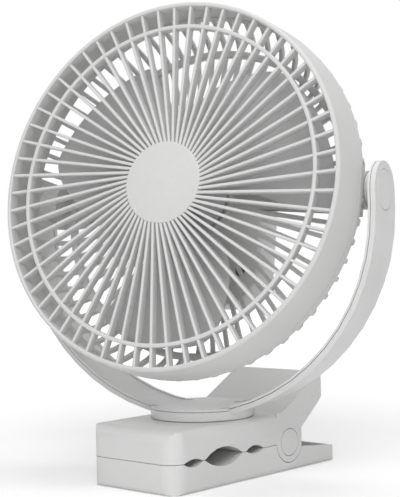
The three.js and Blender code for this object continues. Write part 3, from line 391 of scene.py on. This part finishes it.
def soften(node, width_mm):
    """A copy of a CAD node with rounded edges, made from its own faces."""
    mesh = nodes[node].data.copy()
    work = bmesh.new()
    work.from_mesh(mesh)
    bmesh.ops.remove_doubles(work, verts=work.verts, dist=SAME_PLACE)
    flat = math.radians(FLAT_ANGLE)
    bmesh.ops.dissolve_limit(work, angle_limit=flat, verts=work.verts, edges=work.edges)
    work.to_mesh(mesh)
    work.free()
    piece = finish_piece(mesh, node + "_form", node, smooth_angle=SHARP_ANGLE)
    if width_mm:
        rounding = piece.modifiers.new("rounded edges", "BEVEL")
        rounding.width = width_mm * MM
        rounding.segments = 2
        rounding.limit_method = "ANGLE"
        rounding.angle_limit = math.radians(SHARP_ANGLE)
        rounding.use_clamp_overlap = True
        rounding.harden_normals = True
        rounding.miter_outer = "MITER_ARC"


for name, width in EDGE_WIDTHS_MM.items():
    soften(name, width)
print(len(EDGE_WIDTHS_MM), "mouldings softened")

# %% [markdown]
# ### The head's own frame
#
# The head is tilted in the yoke and the yoke is turned on the clip. Drawing slanted ribs directly would
# be hard to follow, so the head's pieces are drawn upright around the tilt axis and then moved by one
# matrix. In that frame the head's axis is Y, and the guard's front is at a negative Y.

# %% Where the head is
YOKE_TURN = math.radians(14.5)
HEAD_TILT = math.radians(11.7)
TILT_AXIS_HEIGHT = 0.1523
UNMOVED = Matrix.Identity(4)
HEAD = (
    Matrix.Rotation(YOKE_TURN, 4, "Z")
    @ Matrix.Translation((0, 0, TILT_AXIS_HEIGHT))
    @ Matrix.Rotation(-HEAD_TILT, 4, "X")
)


def turn_about_axis(degrees):
    """A turn about the head's axis that takes +X towards +Z."""
    return Matrix.Rotation(-math.radians(degrees), 4, "Y")


def head_piece(work, name, node, material=None, smooth_angle=40.0):
    """Closes a head piece: faces out, moved into the head's place, and put in the scene."""
    bmesh.ops.recalc_face_normals(work, faces=work.faces)
    mesh = bpy.data.meshes.new(name)
    work.to_mesh(mesh)
    work.free()
    mesh.transform(HEAD)
    finish_piece(mesh, name, node, material, smooth_angle)
    print(name, "has", len(mesh.polygons), "faces")


print("head's centre", tuple(round(v, 4) for v in HEAD.translation))

# %% [markdown]
# ### Outlines
#
# The grilles are mouldings of many thin ribs. Joined solids with that many crossings don't round well
# with a modifier, so these pieces are built afresh from clean strokes whose corners are already round.
# An outline is a list of points, and a corner is rounded by a short curve that leaves both its sides
# smoothly.

# %% Round an outline's corners
SHARE_OF_SIDE = 0.45
STRAIGHT_ENOUGH = math.radians(176)


def rounded(points, radius, steps=3):
    """A closed outline with its corners rounded, each by the radius or by what its sides allow."""
    out = []
    count = len(points)
    for i, point in enumerate(points):
        before, here, after = (Vector(points[k % count]) for k in (i - 1, i, i + 1))
        own = radius[i] if isinstance(radius, (list, tuple)) else radius
        into, away = before - here, after - here
        turn = into.angle(away)
        if own <= 0 or turn > STRAIGHT_ENOUGH:
            out.append(tuple(here))
            continue
        longest = SHARE_OF_SIDE * min(into.length, away.length)
        reach = min(own / max(math.tan(turn / 2), 1e-6), longest)
        start = here + into.normalized() * reach
        end = here + away.normalized() * reach
        for k in range(steps + 1):
            t = k / steps
            out.append(tuple(start * (1 - t) ** 2 + here * 2 * t * (1 - t) + end * t ** 2))
    return out


def round_outline(radius, at=(0.0, 0.0), steps=28):
    """A circle about a place."""
    turns = [2 * math.pi * i / steps for i in range(steps)]
    return [(at[0] + radius * math.cos(a), at[1] + radius * math.sin(a)) for a in turns]


print("a rounded square has", len(rounded([(0, 0), (9, 0), (9, 9), (0, 9)], 1)), "points")

# %% [markdown]
# ### Solid strokes
#
# A ring of corners is joined to the next ring by a skin of four-sided faces. That one idea makes all
# the strokes: a turned ring, a straight bar, and a flat slab whose faces are drawn in a little, which
# gives the thin ribs their soft edges.

# %% Rings, bars and slabs


def corner(work, place, x, y, z):
    """One corner given in millimetres and put in place."""
    return work.verts.new(place @ Vector((x * MM, y * MM, z * MM)))


def skin(work, low, high):
    """Faces between two rings of equally many corners."""
    for i in range(len(low)):
        k = (i + 1) % len(low)
        work.faces.new((low[i], low[k], high[k], high[i]))


def closed_stack(work, rings):
    """Skins ring after ring, and closes the first and the last with a face."""
    for low, high in zip(rings, rings[1:]):
        skin(work, low, high)
    work.faces.new(rings[0][::-1])
    work.faces.new(rings[-1])


def lathe(work, profile, segments=180):
    """Turns a closed outline of (radius, y) about the head's axis."""
    rings = []
    for i in range(segments):
        c, s = math.cos(2 * math.pi * i / segments), math.sin(2 * math.pi * i / segments)
        rings.append([corner(work, UNMOVED, r * c, y, r * s) for r, y in profile])
    for here, there in zip(rings, rings[1:] + rings[:1]):
        skin(work, here, there)


def bar(work, section, start, end, place):
    """A straight bar along X between two distances, with a closed (y, z) section."""
    closed_stack(work, [[corner(work, place, x, y, z) for y, z in section] for x in (start, end)])


def slab(work, outline, half_width, edge, place):
    """A flat plate with a closed (x, y) outline, drawn in a little towards its two faces."""
    neighbours = zip(outline[-1:] + outline[:-1], outline[1:] + outline[:1])
    along = [(Vector(after) - Vector(before)).normalized() for before, after in neighbours]
    outer, inner = half_width, half_width - edge
    rings = []
    for z, inset in ((-outer, edge), (-inner, 0.0), (inner, 0.0), (outer, edge)):
        rings.append([
            corner(work, place, x - way.y * inset, y + way.x * inset, z)
            for (x, y), way in zip(outline, along)
        ])
    closed_stack(work, rings)


print("stroke helpers ready")

# %% [markdown]
# ### Front guard
#
# On the real fan it's one moulding. The rim is a deep, slightly flared tube with a rounded lip. The ribs
# are straight and run past the centre at a small distance, so they seem to swirl. A ring ties them near
# the rim, and a plain disc closes the middle. An Array modifier could repeat one rib, but a loop keeps
# each rib's place readable, and lets it end inside the rim.

# %% Build the front guard
FRONT = -40.0
RIB_COUNT = 60
RIB_STEP = 360 / RIB_COUNT
FRONT_RIB_PHASE = 4.1
FRONT_RIB_ENDS = (20.0, 98.2)
RIM = rounded([
    (97.6, FRONT + 0.4), (98.1, FRONT), (99.0, FRONT), (100.0, FRONT + 0.9), (102.1, -17.5),
    (101.5, -16.7), (99.8, -16.7), (97.6, FRONT + 6.4),
], 0.5)
TIE_RING = rounded(
    [(85.3, FRONT + 0.7), (87.5, FRONT + 0.7), (87.5, FRONT + 5.6), (85.3, FRONT + 5.6)],
    [0.7, 0.7, 0.3, 0.3],
)
FRONT_RIB = rounded(
    [(FRONT + 1, -6.5), (FRONT + 1, -4.9), (FRONT + 6, -5.0), (FRONT + 6, -6.4)],
    [0.55, 0.55, 0.2, 0.2],
)
CENTRE_DISC = rounded(
    [(0.2, FRONT + 6.3), (22.2, FRONT + 6.3), (22.2, FRONT + 0.6), (0.2, FRONT + 0.6)],
    [0, 0.3, 0.7, 0], 4,
)

guard = bmesh.new()
lathe(guard, RIM)
lathe(guard, TIE_RING)
for i in range(RIB_COUNT):
    bar(guard, FRONT_RIB, *FRONT_RIB_ENDS, turn_about_axis(FRONT_RIB_PHASE + RIB_STEP * i))
lathe(guard, CENTRE_DISC, 96)
head_piece(guard, "front_guard_form", "front_guard", SHADE_DARKENED_RIBS)

# %% [markdown]
# ### Rear grille: ribs and rings
#
# The ribs start behind the rim, bulge out a little, curl inwards to a broad ring and run on nearly flat
# to the pod's plate. One curled outline cut out of a thin slab is a whole rib. Two ribs are left out
# where the struts stand.

# %% Build the rear ribs and rings
OUTSIDE = [
    (101.9, -14.9), (101.9, -9.4), (98.4, -1), (94.6, 5.4), (90.5, 9.6), (85, 11.6), (33, 12.8),
]
INSIDE = [(33, 10.2), (83, 9.5), (88, 8), (91.6, 4.6), (95.6, -2), (99.3, -10), (99.5, -14.9)]
BENDS = [0, 8, 12, 12, 8, 8, 0, 0, 8, 8, 12, 12, 8, 0]
BEND_STEPS = 5
REAR_RIB_PHASE = 1.5
REAR_RIB_HALF, REAR_RIB_EDGE = 1.2, 0.35
REAR_RIM = rounded([(99.2, -16.4), (101.9, -16.4), (101.9, -12), (101.3, -11.2), (99.2, -11.2)], 0.3)
MIDDLE_RING = rounded([(84.8, 7.4), (88.8, 7.0), (88.8, 10.4), (84.8, 11.2)], 0.8)

grille = bmesh.new()
rear_rib = rounded(OUTSIDE + INSIDE, BENDS, BEND_STEPS)
for i in range(RIB_COUNT):
    if i % (RIB_COUNT // 2):
        place = turn_about_axis(REAR_RIB_PHASE + RIB_STEP * i)
        slab(grille, rear_rib, REAR_RIB_HALF, REAR_RIB_EDGE, place)
lathe(grille, REAR_RIM)
lathe(grille, MIDDLE_RING)
print("rear ribs and rings:", len(grille.faces), "faces")

# %% [markdown]
# ### Rear grille: struts
#
# Two solid struts take the tilt pivots' load from the bosses to the plate. They follow the same curl as
# the ribs, a quarter of a millimetre thicker on both sides so that their faces never fall together, and
# broaden towards the boss that carries the pivot.

# %% Build the struts and tilt bosses
STRUT_END = 99.4
STRUT_PROUD = 0.25
STRUT_EDGE = 0.4
STRUT_AT_PLATE, STRUT_AT_WAIST, STRUT_AT_BOSS = (30, 5), (72, 6), (99, 14)
BOSS_ENDS = (88.0, 101.0)
BOSS = round_outline(10.0, steps=45)


def strut_half_width(x):
    """Half the strut's width at a distance from the head's axis."""
    near = x < STRUT_AT_WAIST[0]
    start, end = (STRUT_AT_PLATE, STRUT_AT_WAIST) if near else (STRUT_AT_WAIST, STRUT_AT_BOSS)
    return start[1] + (end[1] - start[1]) * (x - start[0]) / (end[0] - start[0])


strut_outline = rounded(
    [(min(x, STRUT_END), y + STRUT_PROUD) for x, y in OUTSIDE]
    + [(min(x, STRUT_END), y - STRUT_PROUD) for x, y in INSIDE],
    BENDS, BEND_STEPS,
)
for side in (-1, 1):
    place = turn_about_axis(0 if side > 0 else 180)
    closed_stack(grille, [
        [corner(grille, place, x, y, sign * (strut_half_width(x) - inset)) for x, y in strut_outline]
        for sign, inset in ((-1, STRUT_EDGE), (-1, 0.0), (1, 0.0), (1, STRUT_EDGE))
    ])
    bar(grille, BOSS, *sorted(side * end for end in BOSS_ENDS), UNMOVED)
print("with struts:", len(grille.faces), "faces")

# %% [markdown]
# ### Rear grille: the pod's plate
#
# Behind the blades the grille ends in a plate, a rounded rectangle that carries the motor and closes
# the pod. Its face dips into four screw wells, and their tubes stand behind it. Cutting the wells with
# booleans would leave ragged triangles, so the flat faces are filled between the plate's edge and the
# wells' rims.

# %% Build the pod's plate
POD_HALF_WIDTH, POD_BOTTOM, POD_TOP, POD_CORNER = 34.5, -57.3, 50.0, 18.0
PLATE_FRONT, PLATE_BACK, PLATE_EDGE = 10.0, 13.0, 0.5
WELL_FLOOR, TUBE_END, TUBE_RADIUS = 18.0, 19.6, 4.4
WELL_LEVELS = [(3.4, PLATE_FRONT), (3.1, PLATE_FRONT + 0.3), (2.6, WELL_FLOOR)]
SCREWS_AT = [(x, z) for z in (-38.9, 38.9) for x in (-24.2, 24.2)]
MOTOR_RING = rounded([(15.8, 5.0), (17.9, 5.0), (17.9, 11.0), (15.8, 11.0)], 0.3)


def pod_outline(inset, steps=10):
    """The pod's rounded rectangle in (x, z), drawn in by an inset."""
    r = POD_CORNER - inset
    u, low, high = POD_HALF_WIDTH - POD_CORNER, POD_BOTTOM + POD_CORNER, POD_TOP - POD_CORNER
    points = []
    for x, z, first in ((u, low, -90), (u, high, 0), (-u, high, 90), (-u, low, 180)):
        turns = [math.radians(first + 90 * i / steps) for i in range(steps + 1)]
        points += [(x + r * math.cos(a), z + r * math.sin(a)) for a in turns]
    return points


def ring_at(work, outline, y):
    """Corners along an outline of (x, z), all at one y."""
    return [corner(work, UNMOVED, x, y, z) for x, z in outline]


def face_with_holes(work, outer, holes):
    """A flat face inside one ring and outside the others."""
    sides = [side for loop in (outer, *holes) for side in zip(loop, loop[1:] + loop[:1])]
    edges = [work.edges.get(side) or work.edges.new(side) for side in sides]
    bmesh.ops.triangle_fill(work, use_beauty=True, use_dissolve=False, edges=edges)


front_edge = ring_at(grille, pod_outline(PLATE_EDGE), PLATE_FRONT)
front_side = ring_at(grille, pod_outline(0.0), PLATE_FRONT + PLATE_EDGE)
back_side = ring_at(grille, pod_outline(0.0), PLATE_BACK)
skin(grille, front_edge, front_side)
skin(grille, front_side, back_side)
wells, tubes = [], []
for at in SCREWS_AT:
    well = [ring_at(grille, round_outline(radius, at), y) for radius, y in WELL_LEVELS]
    tube = [ring_at(grille, round_outline(TUBE_RADIUS, at), y) for y in (PLATE_BACK, TUBE_END)]
    for low, high in zip(well, well[1:]):
        skin(grille, low, high)
    skin(grille, *tube)
    grille.faces.new(well[-1])
    grille.faces.new(tube[-1])
    wells.append(well[0])
    tubes.append(tube[0])
face_with_holes(grille, front_edge, wells)
face_with_holes(grille, back_side, tubes)
lathe(grille, MOTOR_RING, 64)
head_piece(grille, "rear_grille_form", "rear_grille", SHADE_DARKENED_RIBS)

# %% [markdown]
# ### Propeller
#
# Three broad blades, swept towards their tips, on a cup that hides the motor. A blade could be shaped
# by hand in sculpt mode, but its plan is easier to state as rows: at each radius, the angles of its two
# edges. A front and a back sheet follow the rows on a pitched face and close round the border, thin at
# the edges and thicker in the middle.

# %% Build the propeller
BLADE_ROWS = [
    (17, 50, -26), (34, 48.5, -30), (50, 43.5, -35), (57, 39.5, -37), (64, 34, -38),
    (70, 29, -38.5), (75.5, 25, -38.5), (80, 21, -38), (83.2, 17.5, -37), (85, 13, -35.5),
]
BLADE_COUNT, FIRST_BLADE = 3, 30
ROWS, COLUMNS = 36, 24
LEADING_ANGLE, LEADING_Y, PITCH = 44, FRONT + 12.9, 0.28
THIN_HALF, EXTRA_HALF = 0.35, 0.5
SIDE_SWELL, TIP_SWELL = 12, 10
HUB_FRONT, HUB_BACK = -29.5, -2.5


def row_at(t):
    """The blade's radius and edge angles, smoothly between the rows."""
    at = t * (len(BLADE_ROWS) - 1)
    i = min(int(at), len(BLADE_ROWS) - 2)
    return [a + (b - a) * (at - i) for a, b in zip(BLADE_ROWS[i], BLADE_ROWS[i + 1])]


def blade_corner(work, place, side, i, j):
    """The corner in row i and column j of the blade's front (-1) or back (1) sheet."""
    radius, front, rear = row_at(i / ROWS)
    s = j / COLUMNS
    angle = front + (rear - front) * s
    middle = LEADING_Y + PITCH * (LEADING_ANGLE - angle)
    swell = min(SIDE_SWELL * s * (1 - s), TIP_SWELL * (1 - i / ROWS), 1.0)
    y = middle + side * (THIN_HALF + EXTRA_HALF * math.sqrt(max(swell, 0)))
    a = math.radians(angle)
    return corner(work, place, radius * math.cos(a), y, radius * math.sin(a))


def sheet(work, place, side):
    """All corners of one sheet, row by row."""
    return [
        [blade_corner(work, place, side, i, j) for j in range(COLUMNS + 1)] for i in range(ROWS + 1)
    ]


def blade(work, place):
    """One blade: two sheets and the strip that closes them round the border."""
    front, back = sheet(work, place, -1), sheet(work, place, 1)
    for i in range(ROWS):
        for j in range(COLUMNS):
            work.faces.new((front[i][j], front[i][j + 1], front[i + 1][j + 1], front[i + 1][j]))
            work.faces.new((back[i][j], back[i + 1][j], back[i + 1][j + 1], back[i][j + 1]))
    border = [(0, j) for j in range(COLUMNS)] + [(i, COLUMNS) for i in range(ROWS)]
    border += [(ROWS, j) for j in range(COLUMNS, 0, -1)] + [(i, 0) for i in range(ROWS, 0, -1)]
    for (i, j), (k, m) in zip(border, border[1:] + border[:1]):
        work.faces.new((front[i][j], back[i][j], back[k][m], front[k][m]))


propeller = bmesh.new()
for turn in range(BLADE_COUNT):
    blade(propeller, turn_about_axis(FIRST_BLADE + 360 / BLADE_COUNT * turn))
lathe(propeller, rounded([
    (0.2, HUB_FRONT), (15, HUB_FRONT + 0.6), (18.8, HUB_FRONT + 2.6), (20, HUB_FRONT + 6),
    (20, HUB_BACK), (18, HUB_BACK), (18, HUB_FRONT + 5), (4.5, HUB_FRONT + 5), (4.5, -19),
    (2.1, -19), (2.1, -27.2), (0.2, -27.2),
], [0, 3, 3, 3, 0.4, 0.4, 0.5, 0.5, 0.3, 0, 0, 0]), 96)
head_piece(propeller, "propeller_form", "propeller", LOOKS["blade"], 60.0)

# %% [markdown]
# ## Studio
#
# A white floor in a white room carries the fan. Brighter lamps could make them white, but would bleach
# the pale plastic too. Floor and room glow a little for the rays that see them, and those rays alone,
# so that the white takes nothing away from the fan's own greys. The floor glows more with its distance
# from the fan: near it the shadow stays, and far off no horizon shows.

# %% Floor
FLOOR_HALF_WIDTH = 4.0
GLOW_FROM, GLOW_TO = 0.2, 1.1
NEAR_GLOW, FAR_GLOW = 0.26, 0.8


def rays_that_see(tree):
    """One for the rays that look at a thing or mirror it, and nought for those that light others."""
    path = add_node(tree, "ShaderNodeLightPath")
    seen = math_node(tree, "MAXIMUM", path.outputs["Is Camera Ray"], path.outputs["Is Glossy Ray"])
    return math_node(tree, "MAXIMUM", seen, path.outputs["Is Transmission Ray"])


floor_mesh = bpy.data.meshes.new("floor")
square = [(-1, -1), (1, -1), (1, 1), (-1, 1)]
floor_corners = [(x * FLOOR_HALF_WIDTH, y * FLOOR_HALF_WIDTH, 0) for x, y in square]
floor_mesh.from_pydata(floor_corners, [], [(0, 1, 2, 3)])

paper, tree, shader = new_material("paper")
fibre = add_node(tree, "ShaderNodeTexNoise", {"Scale": 160.0, "Detail": 4.0}).outputs["Fac"]
tone = mix_colours(tree, fibre, (0.9, 0.9, 0.9), (0.93, 0.93, 0.93))
tree.links.new(tone, shader.inputs["Base Color"])
place = add_node(tree, "ShaderNodeTexCoord").outputs["Object"]
distance = add_node(tree, "ShaderNodeVectorMath", {0: place}, operation="LENGTH").outputs["Value"]
glow = ramp(tree, distance, GLOW_FROM, GLOW_TO, NEAR_GLOW, FAR_GLOW)
seen_glow = math_node(tree, "MULTIPLY", rays_that_see(tree), glow)
tree.links.new(seen_glow, shader.inputs["Emission Strength"])
shader.inputs["Emission Color"].default_value = (1, 1, 1, 1)
shader.inputs["Roughness"].default_value = 0.9
floor_mesh.materials.append(paper)
floor = bpy.data.objects.new("floor", floor_mesh)
scene.collection.objects.link(floor)
print("floor laid,", 2 * FLOOR_HALF_WIDTH, "m wide")

# %% [markdown]
# ### Lights
#
# The photograph's light is broad and soft: a large panel high on the camera's side, a weaker one low
# beside it, a third straight above, and a bright room. A small lamp would draw hard shadows of the
# ribs, so all three are square area lights almost a metre wide. The room is fully white for the rays
# that see it, and gives a third of that as light.

# %% Room and panels
ROOM_LIGHT, ROOM_SEEN = 0.35, 1.0
AIM = Vector((0, 0, 0.13))
PANELS = {
    "key": ((0.7, -1.0, 1.1), 0.8, 9.0),
    "low front": ((0.95, -0.95, 0.3), 0.7, 2.0),
    "top": ((0.1, 0.1, 1.4), 0.8, 4.8),
}

world = bpy.data.worlds.new("room")
scene.world = world
world.use_nodes = True
tree = world.node_tree
background = tree.nodes["Background"]
background.inputs["Color"].default_value = (1.0, 1.0, 1.0, 1.0)
brightness = ramp(tree, rays_that_see(tree), 0.0, 1.0, ROOM_LIGHT, ROOM_SEEN)
tree.links.new(brightness, background.inputs["Strength"])

for name, (at, size, watts) in PANELS.items():
    data = bpy.data.lights.new(name, "AREA")
    data.shape = "SQUARE"
    data.size = size
    data.energy = watts
    light = bpy.data.objects.new(name, data)
    light.location = at
    light.rotation_euler = (AIM - Vector(at)).to_track_quat("-Z", "Y").to_euler()
    scene.collection.objects.link(light)
scene.view_settings.view_transform = "Standard"
print(len(PANELS), "panels lit")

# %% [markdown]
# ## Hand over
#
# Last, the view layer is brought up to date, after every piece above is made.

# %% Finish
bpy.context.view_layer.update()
